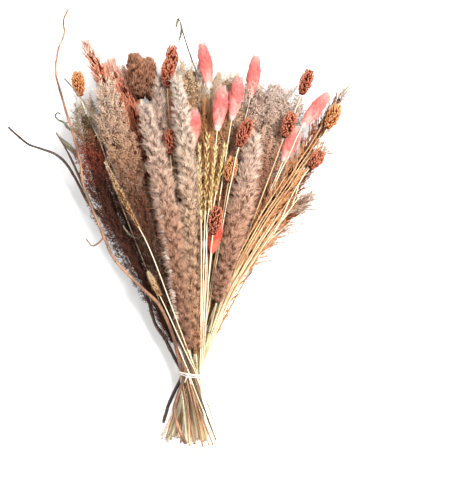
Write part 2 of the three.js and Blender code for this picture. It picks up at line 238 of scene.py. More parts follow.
def finished(bm, name):
    """The mesh of a shape that is to be strewn."""
    bmesh.ops.recalc_face_normals(bm, faces=bm.faces)
    mesh = bpy.data.meshes.new(name)
    bm.to_mesh(mesh)
    bm.free()
    values = np.empty(2 * len(mesh.loops), np.float32)
    mesh.uv_layers[MAP].uv.foreach_get("vector", values)
    OWN_MAP[mesh.name] = values
    return mesh


def strew(target, shape, place, rise):
    """Adds a copy of shape to target, moved to place and up the map by rise."""
    copy = shape.copy()
    copy.transform(place)
    values = OWN_MAP[shape.name].copy()
    values[1::2] += rise
    copy.uv_layers[MAP].uv.foreach_set("vector", values)
    target.from_mesh(copy)
    bpy.data.meshes.remove(copy)


def leaning(course, s, turn, root, lean, size, roll=0.0):
    """Where a shape sits on a plant: out from the middle line by root and leaning outwards."""
    return (
        course.frame(s)
        @ Matrix.Rotation(turn, 4, "Z")
        @ Matrix.Translation((root, 0, 0))
        @ Matrix.Rotation(lean, 4, "Y")
        @ Matrix.Rotation(roll, 4, "Z")
        @ Matrix.Scale(size, 4)
    )


def tilted(rng, spread):
    """A way near +Z, off it by an angle of up to about spread."""
    return Vector((rng.gauss(0, spread), rng.gauss(0, spread), 1)).normalized()


# ---- The shapes that the heads are made of ----


def shapes(make, kinds, seed_of):
    """Several versions of a shape, so that no two neighbours look alike."""
    result = []
    for k in range(kinds):
        rng = random.Random(seed_of * 100 + k)
        bm = bmesh.new()
        make(bm, rng)
        result.append(finished(bm, f"{make.__name__}_{k}"))
    return result


def plume_lock(bm, rng):
    """A soft lock of a plume: hairs that part towards their tips, some of them curling over. 10 mm long."""
    for _ in range(6):
        root = Vector((rng.gauss(0, 0.7), rng.gauss(0, 0.7), rng.uniform(0, 2.5)))
        bend = Vector((rng.uniform(0.05, 0.5), rng.gauss(0, 0.16), -0.05))
        way = tilted(rng, 0.18)
        hair(bm, root, way, rng.uniform(6, 10.5), bend, rng.uniform(0.13, 0.2), rng.uniform(0, 0.03))
    for _ in range(20):
        root = Vector((rng.gauss(0.2, 0.8), rng.gauss(0, 0.8), rng.uniform(0, 4)))
        way = (tilted(rng, 0.24) + Vector((0.12, 0, 0))).normalized()
        straight(bm, root, way, rng.uniform(4.5, 9), rng.uniform(0.13, 0.2), rng.uniform(0, 0.03))


def plume_tuft(bm, rng):
    """A small pale tuft of hairs that curl over at their tips. 8 mm long."""
    for _ in range(12):
        root = Vector((rng.gauss(0, 0.4), rng.gauss(0, 0.6), rng.uniform(0, 1.5)))
        bend = Vector((rng.uniform(0.3, 0.8), rng.gauss(0, 0.2), -0.1))
        way = tilted(rng, 0.3)
        length = rng.uniform(4, 8)
        hair(bm, root, way, length, bend, rng.uniform(0.2, 0.3), rng.uniform(0, 0.02), u=(0.5, 1.0))


def broom_spray(bm, rng, grains=(0.32, 0.55)):
    """A spray of hair-fine twigs set with tiny seeds. 16 mm long."""
    hair(bm, Vector(), UP, 13, Vector((0.1, 0, 0)), 0.2, rng.uniform(0, 0.02), u=(0.03, 0.5))
    for k in range(9):
        start = Vector((0, 0, rng.uniform(1, 11)))
        way = tilted(rng, 0.42)
        length = rng.uniform(3.5, 7)
        height = rng.uniform(0, 0.03)
        straight(bm, start, way, length, 0.13, height, u=(0.1, 0.6))
        for share in (rng.uniform(0.85, 0.95), rng.uniform(0.3, 0.65)):
            grain = rng.uniform(*grains)
            at = start + way * length * share
            straight(bm, at, tilted(rng, 0.9), 3.4 * grain, grain, height, u=(0.62, 1.0))


def broom_grains(bm, rng):
    """A tangle of tiny seeds from the outside of a broom, 6 mm across, with a few hairs standing out."""
    for _ in range(26):
        at = Vector((rng.gauss(0, 1.0), rng.gauss(0, 2.4), rng.uniform(-4.5, 4.5)))
        way = (tilted(rng, 0.8) + Vector((0.5, 0, 0))).normalized()
        length = rng.uniform(1.7, 3.0)
        straight(bm, at, way, length, rng.uniform(0.34, 0.56), rng.uniform(0, 0.03), u=(0.1, 1.0))
    for _ in range(4):
        at = Vector((0, rng.gauss(0, 1.0), rng.uniform(-2, 2)))
        way = tilted(rng, 0.4)
        straight(bm, at, way, rng.uniform(4, 6.5), 0.13, rng.uniform(0, 0.03), u=(0.4, 1.0))


def broom_clump(bm, rng):
    """The same spray with its seeds puffed up."""
    broom_spray(bm, rng, grains=(0.5, 0.85))


def reed_branch(bm, rng):
    """A branch of a reed's plume: pointed spikelets and fine hairs along a twig. 13 mm long."""
    hair(bm, Vector(), UP, 11, Vector((0.06, 0, 0)), 0.2, 0.0, levels=2, u=(0.03, 0.4))
    for k in range(6):
        at = Vector((0, 0, 1.5 + k * 1.7))
        way = tilted(rng, 0.3)
        length = rng.uniform(3.2, 4.8)
        seed(bm, at, way, length, rng.uniform(0.3, 0.52), rng.uniform(0, 0.04), u=(0.2, 0.95), sides=3)
    for _ in range(10):
        way = tilted(rng, 0.26)
        start = Vector((0, 0, rng.uniform(1, 9)))
        straight(bm, start, way, rng.uniform(3.5, 7), rng.uniform(0.11, 0.2), rng.uniform(0, 0.04))


def reed_wisp(bm, rng):
    """A long thin branch that bends over, with a few pointed spikelets at its end. 26 mm long."""
    bend = Vector((rng.uniform(0.15, 0.35), rng.gauss(0, 0.1), 0))
    way = tilted(rng, 0.1)
    twig = 24
    spikelets = 12
    hair(bm, Vector(), way, twig, bend, 0.3, 0.0, levels=5, u=(0.2, 0.6))
    for k in range(spikelets):
        at = 0.35 + 0.62 * k / (spikelets - 1)
        start = way * (twig * at) + bend * (twig * at * at)
        out = (way + bend * (2 * at) + Vector((rng.gauss(0, 0.4), rng.gauss(0, 0.4), 0))).normalized()
        length = rng.uniform(3, 5.5)
        straight(bm, start, out, length, rng.uniform(0.22, 0.4), rng.uniform(0, 0.02), u=(0.4, 1.0))


def millet_cluster(bm, rng):
    """A few small millet grains under many stiff upright bristles. 6 mm long."""
    for _ in range(2):
        at = Vector((rng.gauss(0, 0.4), rng.gauss(0, 0.7), rng.uniform(0, 2)))
        way = tilted(rng, 0.35)
        seed(bm, at, way, rng.uniform(1.6, 2.2), rng.uniform(0.35, 0.5), rng.uniform(0, 0.03), u=(0.1, 0.4))
    for _ in range(22):
        at = Vector((rng.gauss(0, 0.3), rng.gauss(0, 1.1), rng.uniform(0, 3)))
        width = rng.uniform(0.2, 0.34)
        way = tilted(rng, 0.2)
        straight(bm, at, way, rng.uniform(3.5, 6.5), width, rng.uniform(0, 0.04), u=(0.06, 1.0))


def canary_scale(bm, rng):
    """One keeled scale of a canary grass head, 3.4 mm long: ridged outside and pointed."""
    bmesh.ops.create_uvsphere(bm, u_segments=6, v_segments=3, radius=1.0)
    layer = map_of(bm)
    lean = rng.uniform(-0.2, 0.2)
    length = 3.4
    for v in bm.verts:
        at = (v.co.z + 1) / 2
        width = 0.95 * (1 - 0.6 * at)
        keel = 0.3 + 0.35 * max(0.0, 1 - abs(v.co.y) * 1.6)
        out = 0.6 * math.sin(at * math.pi * 0.8)
        v.co = Vector((v.co.x * keel + out, v.co.y * width + lean * at, length * at))
    for face in bm.faces:
        face.smooth = True
        for loop in face.loops:
            along = loop.vert.co.z / length
            across = (loop.vert.co.y + 2) / 4
            loop[layer].uv = (0.02 + 0.96 * along, 0.012 * across + 0.004 * loop.vert.co.x)


def fur_lock(bm, rng):
    """A lock of straight silky fur. 8 mm long."""
    for _ in range(5):
        root = Vector((rng.gauss(0, 0.3), rng.gauss(0, 0.9), rng.uniform(0, 2)))
        bend = Vector((rng.uniform(-0.2, -0.06), rng.gauss(0, 0.04), 0))
        way = tilted(rng, 0.06)
        hair(bm, root, way, rng.uniform(5, 8), bend, rng.uniform(0.14, 0.2), rng.uniform(0, 0.03))
    for _ in range(14):
        root = Vector((rng.gauss(0, 0.25), rng.gauss(0, 1.1), rng.uniform(0, 3)))
        straight(bm, root, tilted(rng, 0.05), rng.uniform(3.5, 6.5), 0.17, rng.uniform(0, 0.03))


def oat_spikelet(bm, rng):
    """A slim oat spikelet: two husks, the grain between them and an awn. 8 mm long."""
    for side in (-1, 1):
        way = Vector((0.12 * side, 0, 1)).normalized()
        seed(bm, Vector(), way, rng.uniform(6, 8), 0.5, rng.uniform(0, 0.03), u=(0.1, 0.9), sides=4)
    seed(bm, Vector((0, 0, 1)), UP, 5, 0.4, 0.02, u=(0.4, 1.0))
    hair(bm, Vector((0, 0, 2)), tilted(rng, 0.12), 11, Vector((0.1, 0.1, 0)), 0.14, 0.02, levels=3)


def foxtail_tuft(bm, rng):
    """Two small grains and the stiff bristles round them. 5 mm long."""
    for _ in range(2):
        seed(bm, Vector((0, rng.gauss(0, 0.4), 0)), tilted(rng, 0.3), 2.2, 0.5, 0.0, u=(0.2, 0.7))
    for _ in range(7):
        straight(bm, Vector(), tilted(rng, 0.3), rng.uniform(3.5, 6), 0.13, rng.uniform(0, 0.03))


# ---- The heads ----


class Outline:
    """The outline of a head in place of its solid's plain one. start under nought carries the head on down
    the stem, widest is its radius as a share of the solid's, and base and tip are shares of the widest."""

    def __init__(self, start, belly, widest, base, tip, blunt=2.0):
        self.start = start
        self.belly = belly
        self.widest = widest
        self.base = base
        self.tip = tip
        self.blunt = blunt

    def share(self, t):
        if t < self.belly:
            rise = math.sin(math.pi / 2 * (t - self.start) / (self.belly - self.start))
            return self.base + (1 - self.base) * rise
        fall = ((t - self.belly) / (1 - self.belly)) ** self.blunt
        return 1 - (1 - self.tip) * fall

    def radius(self, course, t):
        return self.share(t) * self.widest * max(course.radii)


def strewn_head(target, course, rng, kind, count, outline, root, lean, size, up_to=1.0, roll=0.5):
    """Strews shapes of a kind evenly round and along a head. root is how far out they sit, as shares of the
    outline's radius, lean is how far they stand off the head in degrees, and size is their scale where the
    head is widest."""
    for k in range(count):
        t = outline.start + (up_to - outline.start) * (k + rng.random()) / count
        room = outline.radius(course, t)
        turn = k * GOLDEN_TURN + rng.gauss(0, 0.4)
        tip = math.radians(rng.uniform(*lean))
        big = rng.uniform(*size) * (0.5 + 0.5 * outline.share(t))
        out = rng.uniform(*root) * room
        place = leaning(course, course.head(t), turn, out, tip, big, rng.gauss(0, roll))
        strew(target, rng.choice(LOCKS[kind]), place, HEAD_BAND * min(1.0, max(0.0, t)))


def core(target, course, outline, share, up_to=0.94, sides=10, dark=(0.0, 0.03), roughness=1.6):
    """The dense middle of a head, which shows between the tufts. Where dark takes it to the root end of the
    map, its darkness is painted shade. dark is its place across the map.
    """
    first = course.head(outline.start)
    count = max(8, round((course.head(up_to) - first) / 4))
    points = []
    radii = []
    for k in range(count + 1):
        t = outline.start + (up_to - outline.start) * k / count
        points.append(course.frame(course.head(t)).translation)
        radii.append(max(course.stem, outline.radius(course, t) * share) if k < count else 0.0)
    bm = bmesh.new()

    def on_map(at, around):
        t = outline.start + (up_to - outline.start) * at
        return (dark[0] + (dark[1] - dark[0]) * around, HEAD_BAND * max(0.0, t) + 0.002 * at)

    tube(bm, points, radii, sides, on_map)
    bm.normal_update()
    for v in bm.verts:
        v.co += v.normal * (noise.noise(v.co * 0.35) * roughness * outline.widest)
    strew(target, finished(bm, "core"), Matrix(), 0.0)


def head_of(outline, middle, kind, count, root, lean, size, up_to=1.0, roll=0.5, **middle_look):
    """A head of one kind of shape over a middle that fills a share of the outline's radius."""

    def head(target, course, rng, full):
        core(target, course, outline, middle, **middle_look)
        number = round(count * full)
        strewn_head(target, course, rng, kind, number, outline, root, lean, size, up_to, roll)

    return head


pampas_head = head_of(
    Outline(-0.1, 0.5, 1.55, 0.45, 0.3), 0.36, "plume", 500, (0.12, 0.55), (12, 42), (1.0, 1.6),
    dark=(0.06, 0.16),
)
millet_head = head_of(
    Outline(0.0, 0.55, 1.0, 0.6, 0.55, blunt=3.0), 0.66, "millet", 300, (0.55, 0.84), (4, 26), (0.9, 1.25)
)
canary_head = head_of(
    Outline(0.0, 0.45, 1.05, 0.45, 0.3, blunt=2.2), 0.72, "canary", 430, (0.66, 0.86), (12, 40), (0.75, 1.05),
    up_to=0.95, dark=(0.0, 0.1), roughness=0.4,
)
bunny_tail_head = head_of(
    Outline(0.0, 0.42, 1.3, 0.35, 0.12, blunt=2.0), 0.78, "fur", 200, (0.62, 0.72), (6, 16), (0.9, 1.15),
    up_to=0.93, roll=0.15, dark=(0.5, 0.6), roughness=0.0,
)
foxtail_head = head_of(
    Outline(0.0, 0.5, 1.0, 0.5, 0.3), 0.6, "foxtail", 150, (0.4, 0.6), (20, 50), (0.7, 1.0)
)

TUFTS = 46  # pale tufts down the left edge of the front plume
TUFT_ON_MAP = HEAD_BAND * 0.96  # as pale as the tip of the plume


def tufted_pampas_head(target, course, rng, full):
    """A plume whose left edge has opened into pale curled tufts."""
    pampas_head(target, course, rng, full)
    for k in range(TUFTS):
        t = 0.05 + 0.6 * k / TUFTS
        s = course.head(t)
        away = course.frame(s).to_3x3().inverted() @ Vector((-1.0, 0.0, rng.uniform(0.1, 1.2)))
        lean = math.radians(rng.uniform(26, 52))
        place = leaning(course, s, math.atan2(away.y, away.x), 5.5, lean, rng.uniform(0.8, 1.1))
        strew(target, rng.choice(LOCKS["tuft"]), place, TUFT_ON_MAP)


def broom_of(outline, sprays, grains, kind="broom"):
    """A head of sprays under a shell of tiny seeds."""
    sprays_only = head_of(outline, 0.32, kind, sprays, (0.2, 0.6), (2, 38), (0.8, 1.15), dark=(0.05, 0.13))

    def head(target, course, rng, full):
        sprays_only(target, course, rng, full)
        count = round(grains * full)
        strewn_head(target, course, rng, "grains", count, outline, (0.45, 0.95), (4, 30), (0.8, 1.2))

    return head


broom_head = broom_of(Outline(-0.5, 0.7, 1.6, 0.25, 0.6), 200, 480)
pale_broom_head = broom_of(Outline(-0.35, 0.7, 1.4, 0.25, 0.5), 200, 460, kind="clump")
middle_broom_head = broom_of(Outline(-0.8, 0.7, 1.8, 0.35, 0.6), 160, 460)
dome_broom_head = broom_of(Outline(-0.9, 0.8, 2.1, 0.4, 0.74, blunt=2.6), 200, 720)


def reed_of(outline, count, lean=(4, 26), size=(0.85, 1.3)):
    """A spike of short branches."""
    return head_of(outline, 0.3, "reed", count, (0.05, 0.5), lean, size)


brown_reed_head = reed_of(Outline(-0.2, 0.55, 1.9, 0.4, 0.35, blunt=1.6), 340)
salmon_reed_head = reed_of(Outline(-0.2, 0.6, 2.4, 0.4, 0.5, blunt=2.2), 380)
rust_reed_spike = reed_of(Outline(-0.4, 0.5, 1.8, 0.4, 0.25, blunt=1.4), 420, (6, 34), (0.95, 1.5))

WISPS_ROUND = 14  # long branches all round a rust reed
WISPS_OUTWARDS = 7  # and on the side that faces out of the bunch
OUTWARDS = Vector((1.0, 0.25, 0.1))
WISP_ON_MAP = HEAD_BAND * 0.97  # as pale as the tip of the head


def rust_reed_head(target, course, rng, full):
    """A loose spike with long branches standing out of it."""
    rust_reed_spike(target, course, rng, full)
    for k in range(WISPS_ROUND):
        lean = math.radians(rng.uniform(14, 40))
        s = course.head(rng.uniform(0.3, 0.9))
        place = leaning(course, s, k * GOLDEN_TURN, 1.0, lean, rng.uniform(0.9, 1.3))
        strew(target, rng.choice(LOCKS["wisp"]), place, WISP_ON_MAP)
    for k in range(WISPS_OUTWARDS):
        s = course.head(0.1 + 0.5 * k / (WISPS_OUTWARDS - 1))
        away = course.frame(s).to_3x3().inverted() @ OUTWARDS
        turn = math.atan2(away.y, away.x) + rng.gauss(0, 0.3)
        place = leaning(course, s, turn, 2.0, math.radians(rng.uniform(16, 34)), rng.uniform(1.3, 1.7))
        strew(target, rng.choice(LOCKS["wisp"]), place, WISP_ON_MAP)


def oat_head(target, course, rng, full):
    count = round(36 * full)
    for k in range(count):
        t = (k + 0.5) / count
        lean = math.radians(rng.uniform(4, 22))
        place = leaning(course, course.head(t), k * GOLDEN_TURN, 0.4, lean, rng.uniform(0.75, 1.1))
        strew(target, rng.choice(LOCKS["oat"]), place, HEAD_BAND * t)


LOCKS = {
    "plume": shapes(plume_lock, 6, 1),
    "tuft": shapes(plume_tuft, 5, 12),
    "broom": shapes(broom_spray, 6, 2),
    "clump": shapes(broom_clump, 6, 9),
    "grains": shapes(broom_grains, 8, 10),
    "reed": shapes(reed_branch, 6, 3),
    "wisp": shapes(reed_wisp, 5, 11),
    "millet": shapes(millet_cluster, 4, 4),
    "canary": shapes(canary_scale, 4, 5),
    "fur": shapes(fur_lock, 5, 6),
    "oat": shapes(oat_spikelet, 4, 7),
    "foxtail": shapes(foxtail_tuft, 4, 8),
}


# ---- Materials ----

FLUFF_SHINE = 0.04  # dried fluff hardly mirrors


def grey(level):
    """A grey's hexadecimal code."""
    return f"{round(level * 255):02x}" * 3


def linear(code):
    """The scene's colour for a hexadecimal one."""
    channels = [int(code[k : k + 2], 16) / 255 for k in (0, 2, 4)]
    return (*(c / 12.92 if c <= 0.04045 else ((c + 0.055) / 1.055) ** 2.4 for c in channels), 1.0)


class Finish:
    """A material under construction."""

    def __init__(self, name):
        self.material = bpy.data.materials.new(name)
        self.material.use_nodes = True
        self.tree = self.material.node_tree
        self.shader = self.tree.nodes["Principled BSDF"]

    def add(self, kind, links=(), **settings):
        node = self.tree.nodes.new(kind)
        for key, value in settings.items():
            setattr(node, key, value)
        for socket, source in dict(links).items():
            if hasattr(source, "is_output"):
                self.tree.links.new(source, node.inputs[socket])
            else:
                node.inputs[socket].default_value = source
        return node

    def on_map(self):
        """Root-to-tip and along-the-head places, as two numbers."""
        place = self.add("ShaderNodeUVMap", uv_map=MAP)
        parts = self.add("ShaderNodeSeparateXYZ", {0: place.outputs[0]})
        return place.outputs[0], parts.outputs[0], parts.outputs[1]

    def stretched(self, vector, scale):
        return self.add("ShaderNodeMapping", {"Vector": vector, "Scale": scale}).outputs[0]

    def noise(self, vector, scale, detail=2.0, roughness=0.5):
        links = {"Vector": vector, "Scale": scale, "Detail": detail, "Roughness": roughness}
        return self.add("ShaderNodeTexNoise", links).outputs["Fac"]

    def ramp(self, factor, stops):
        node = self.add("ShaderNodeValToRGB", {0: factor})
        elements = node.color_ramp.elements
        while len(elements) < len(stops):
            elements.new(0.5)
        for element, (position, colour) in zip(elements, stops):
            element.position = position
            element.color = linear(colour)
        return node.outputs[0]

    def span(self, value, low, high, to_low=0.0, to_high=1.0):
        links = {"Value": value, "From Min": low, "From Max": high, "To Min": to_low, "To Max": to_high}
        return self.add("ShaderNodeMapRange", links).outputs[0]

    def mix(self, factor, a, b, blend="MIX"):
        links = {0: factor, 6: a, 7: b}
        return self.add("ShaderNodeMix", links, data_type="RGBA", blend_type=blend).outputs[2]

    def bump(self, height, strength, distance):
        links = {"Height": height, "Strength": strength, "Distance": distance}
        self.set("Normal", self.add("ShaderNodeBump", links).outputs[0])

    def set(self, socket, value):
        if hasattr(value, "is_output"):
            self.tree.links.new(value, self.shader.inputs[socket])
        else:
            self.shader.inputs[socket].default_value = value


def strand_finish(
    name, root, along, tip, tip_from=0.7, tip_share=0.6, uneven=0.35, sheen=0.0, root_to=0.3
):
    """Dried fluff: dark at the root as painted shade deep inside the head, coloured along the head by the
    stops of along, pale at the tips.
    """
    finish = Finish(name)
    place, across, up = finish.on_map()
    body = finish.ramp(up, [(HEAD_BAND * at, colour) for at, colour in along])
    patches = finish.noise(finish.stretched(place, (0.6, 1.0, 1.0)), 26.0, 3.0, 0.7)
    shade = finish.ramp(patches, [(0.3, grey(1 - uneven)), (0.7, "ffffff")])
    body = finish.mix(1.0, body, shade, "MULTIPLY")
    # Painted shade: towards their roots the hairs take the root colour, standing in for the shadow deep among
    # them.
    body = finish.mix(finish.span(across, 0.04, root_to), linear(root), body)
    streaks = finish.noise(finish.stretched(place, (2.0, 1.0, 1.0)), 90.0, 2.0)
    share = finish.add(
        "ShaderNodeMath",
        {0: finish.span(across, tip_from, 1.0, 0.0, tip_share), 1: finish.span(streaks, 0.3, 0.65)},
        operation="MULTIPLY",
    ).outputs[0]
    finish.set("Base Color", finish.mix(share, body, linear(tip)))
    finish.set("Roughness", finish.span(streaks, 0.3, 0.7, 0.55, 0.9))
    finish.set("Specular IOR Level", FLUFF_SHINE)
    finish.set("Sheen Weight", sheen)
    finish.set("Sheen Roughness", 0.5)
    return finish.material


def stem_finish(name, pale, dark, joint, joints=4.0):
    """A straw: long fibres, a slow change of colour along it, and a dark ring at each joint."""
    finish = Finish(name)
    place, across, _ = finish.on_map()
    fibres = finish.noise(finish.stretched(place, (14.0, 130.0, 1.0)), 1.0, 4.0, 0.6)
    slow = finish.noise(finish.stretched(place, (5.0, 9.0, 1.0)), 1.0, 2.0)
    colour = finish.mix(finish.span(slow, 0.35, 0.65), linear(pale), linear(dark))
    colour = finish.mix(1.0, colour, finish.ramp(fibres, [(0.3, "8f8478"), (0.6, "ffffff")]), "MULTIPLY")
    share = finish.add("ShaderNodeMath", {0: across, 1: joints}, operation="MULTIPLY").outputs[0]
    share = finish.add("ShaderNodeMath", {0: share}, operation="FRACT").outputs[0]
    ring = finish.span(share, 0.0, 0.03, 1.0, 0.0)
    finish.set("Base Color", finish.mix(ring, colour, linear(joint)))
    finish.set("Roughness", finish.span(fibres, 0.3, 0.7, 0.62, 0.4))
    finish.bump(fibres, 0.35, 0.0002)
    finish.set("Coat Weight", 0.06)
    return finish.material


def bark_finish(name, pale, dark, scar):
    """Bark or dry leaf: lengthwise ridges, cross scars and a slow change of colour."""
    finish = Finish(name)
    place = finish.add("ShaderNodeTexCoord").outputs["Object"]
    ridges = finish.noise(finish.stretched(place, (900.0, 120.0, 900.0)), 1.0, 4.0, 0.6)
    slow = finish.noise(place, 22.0, 2.0)
    scars = finish.noise(finish.stretched(place, (60.0, 420.0, 60.0)), 1.0, 3.0, 0.7)
    colour = finish.mix(finish.span(slow, 0.4, 0.6), linear(pale), linear(dark))
    colour = finish.mix(finish.span(scars, 0.6, 0.72), colour, linear(scar))
    colour = finish.mix(1.0, colour, finish.ramp(ridges, [(0.32, "7c6a60"), (0.6, "ffffff")]), "MULTIPLY")
    finish.set("Base Color", colour)
    finish.set("Roughness", finish.span(ridges, 0.3, 0.7, 0.5, 0.75))
    finish.bump(ridges, 0.5, 0.0004)
    finish.set("Coat Weight", 0.05)
    return finish.material


def twine_finish():
    """Off-white twine: fine fibres round each ply."""
    finish = Finish("twine")
    place = finish.on_map()[0]
    fibres = finish.noise(finish.stretched(place, (260.0, 30.0, 1.0)), 1.0, 3.0, 0.6)
    finish.set("Base Color", finish.ramp(fibres, [(0.25, "9a8a80"), (0.6, "cabdb4")]))
    finish.set("Roughness", finish.span(fibres, 0.3, 0.7, 0.75, 0.95))
    finish.bump(fibres, 0.4, 0.0002)
    finish.set("Sheen Weight", 0.3)
    return finish.material


STEMS = {
    name: stem_finish(name, *colours)
    for name, *colours in (
        ("cream_straw", "f2e6ca", "d6bc90", "84603a"),
        ("golden_straw", "e0c090", "b8885a", "7a4c26"),
        ("green_straw", "cac09a", "8e8862", "5c4c2c"),
        ("brown_straw", "a0744a", "74482c", "4c2c1a"),
    )
}

# Each head's colours: at the root, along the head from its base, and at the tips; then what else differs.
# The dark root colours are painted shade deep inside the heads.
HEAD_COLOURS = {
    "pampas_rosy": (
        "44281b", [(0.0, "bc8a6e"), (0.45, "dca888"), (1.0, "f8dcc8")], "fdf0e8", {"root_to": 0.34},
    ),
    "pampas_sand": (
        "54331f", [(0.0, "d29c76"), (0.5, "fad4b2"), (1.0, "fdeada")], "fdf4ea", {"root_to": 0.3},
    ),
    # The brooms' darker lower stops are painted shade, where the lower part of each broom lies in the bunch's
    # shadow.
    "broom_heather": (
        "1e100b", [(0.0, "5e3a2e"), (0.5, "6c4034"), (0.64, "8c4634"), (0.74, "b05844"),
                   (0.83, "ac8868"), (0.97, "ccb494")], "caa488", {"tip_share": 0.6},
    ),
    "broom_pale": (
        "341c12", [(0.0, "4a2a1c"), (0.35, "7c4e3a"), (0.62, "d8a684"), (1.0, "f4d8be")], "fde6d0", {},
    ),
    # Broom colours darkened as painted shade, for the brooms that lie deep in the bunch.
    "broom_brown": (
        "1e0f0a", [(0.0, "5c3828"), (0.6, "8c563e"), (1.0, "c09274")], "d0a284", {"tip_share": 0.35},
    ),
    "broom_tan": (
        "42260f", [(0.0, "ba7848"), (0.5, "eeb482"), (0.8, "fcd8ae"), (1.0, "fde6c6")], "fdeccc", {},
    ),
    "broom_dome": (
        "402a1e", [(0.0, "b0704e"), (0.4, "e0a888"), (0.65, "ecc6ac"), (1.0, "e8d2c2")], "fae6d6", {},
    ),
    "salmon_reed": (
        "4e1a0e", [(0.0, "e08a60"), (0.4, "f2966a"), (0.75, "f6a07c"), (1.0, "fac8b0")], "fcd6c0", {},
    ),
    "brown_reed": ("2e150a", [(0.0, "a46234"), (0.5, "cc8450"), (1.0, "dca070")], "f2c69c", {}),
    "dark_reed": (
        "240b07", [(0.0, "7c3020"), (0.5, "b04e36"), (1.0, "d07c5a")], "de9a78", {"tip_share": 0.4},
    ),
    "rust_reed": (
        "2a140b", [(0.0, "e09a68"), (0.45, "e49e6c"), (0.68, "a05c3a"), (0.85, "8a5a42"),
                   (1.0, "d2b49c")], "f4d4b4", {},
    ),
    # Millet and canary: the pale tips are partly the plants' own paler ends and partly painted highlight
    # along the bristles and scales.
    "millet_head": (
        "180904", [(0.0, "6c3420"), (0.6, "a86440"),
                   (1.0, "b07450")], "fcccac",
        {"tip_from": 0.4, "tip_share": 1.0, "uneven": 0.5, "root_to": 0.5},
    ),
    "canary_red": (
        "200905", [(0.0, "802a16"), (0.6, "983c22"),
                   (1.0, "984828")], "fcb694", {"tip_from": 0.45, "tip_share": 1.0},
    ),
    "canary_straw": (
        "461c0a", [(0.0, "a85426"), (0.6, "c07038"),
                   (1.0, "c8864c")], "fcd4a2", {"tip_from": 0.45, "tip_share": 1.0},
    ),
    "bunny_tail_coral": (
        "cc5c54", [(0.0, "f6dccf"), (0.14, "f08a80"), (0.6, "ea7c74"),
                   (1.0, "f8c4ba")], "fde8e2", {"uneven": 0.1, "tip_share": 0.5, "sheen": 0.1},
    ),
    "bunny_tail_red": (
        "a83426", [(0.0, "e0604a"), (0.6, "e45c44"),
                   (1.0, "ec806e")], "f6b0a0", {"uneven": 0.15, "tip_share": 0.4, "sheen": 0.1},
    ),
    "oat_head": ("6e5c30", [(0.0, "bc9c60"), (0.6, "d4b67c"), (1.0, "dcc690")], "f2e2b8", {}),
    "foxtail_head": ("4a2c18", [(0.0, "d0a070"), (0.6, "e8c090"), (1.0, "f4d8b4")], "fdf0dc", {}),
}
FINISHES = {
    name: strand_finish(name, root, along, tip, **more)
    for name, (root, along, tip, more) in HEAD_COLOURS.items()
}
BARKS = {
    name: bark_finish(name, *colours)
    for name, *colours in (
        ("willow_bark_orange", "a07450", "643e2a", "4a2a1a"),
        ("willow_bark_dark", "60402e", "2a1812", "9a7c60"),
        ("willow_bark_grey", "7a6a58", "44382e", "30281f"),
        ("dry_leaf", "8c866c", "5a5442", "3c3428"),
    )
}
TWINE = twine_finish()


# ---- The plants ----

# Each kind: how its head is made and the record's slot for it.
KINDS = {
    "pampas_front_left": (tufted_pampas_head, "pampas_plume"),
    "pampas": (pampas_head, "pampas_plume"),
    "broom_dome": (dome_broom_head, "broom_seed"),
    "broom_under_right": (dome_broom_head, "broom_seed"),
    "broom_left_pale": (pale_broom_head, "broom_seed"),
    "broom_middle": (middle_broom_head, "broom_seed"),
    "broom_under_middle": (middle_broom_head, "broom_seed"),
    "broom": (broom_head, "broom_seed"),
    "salmon_reed": (salmon_reed_head, "salmon_reed"),
    "brown_reed": (brown_reed_head, "brown_reed"),
    "rust_reed": (rust_reed_head, "rust_reed"),
    "millet": (millet_head, "millet_head"),
    "canary": (canary_head, "canary_seed_head"),
    "bunny_tail": (bunny_tail_head, "bunny_tail_fur"),
    "oat": (oat_head, "oat_head"),
    "foxtail": (foxtail_head, "foxtail_head"),
}

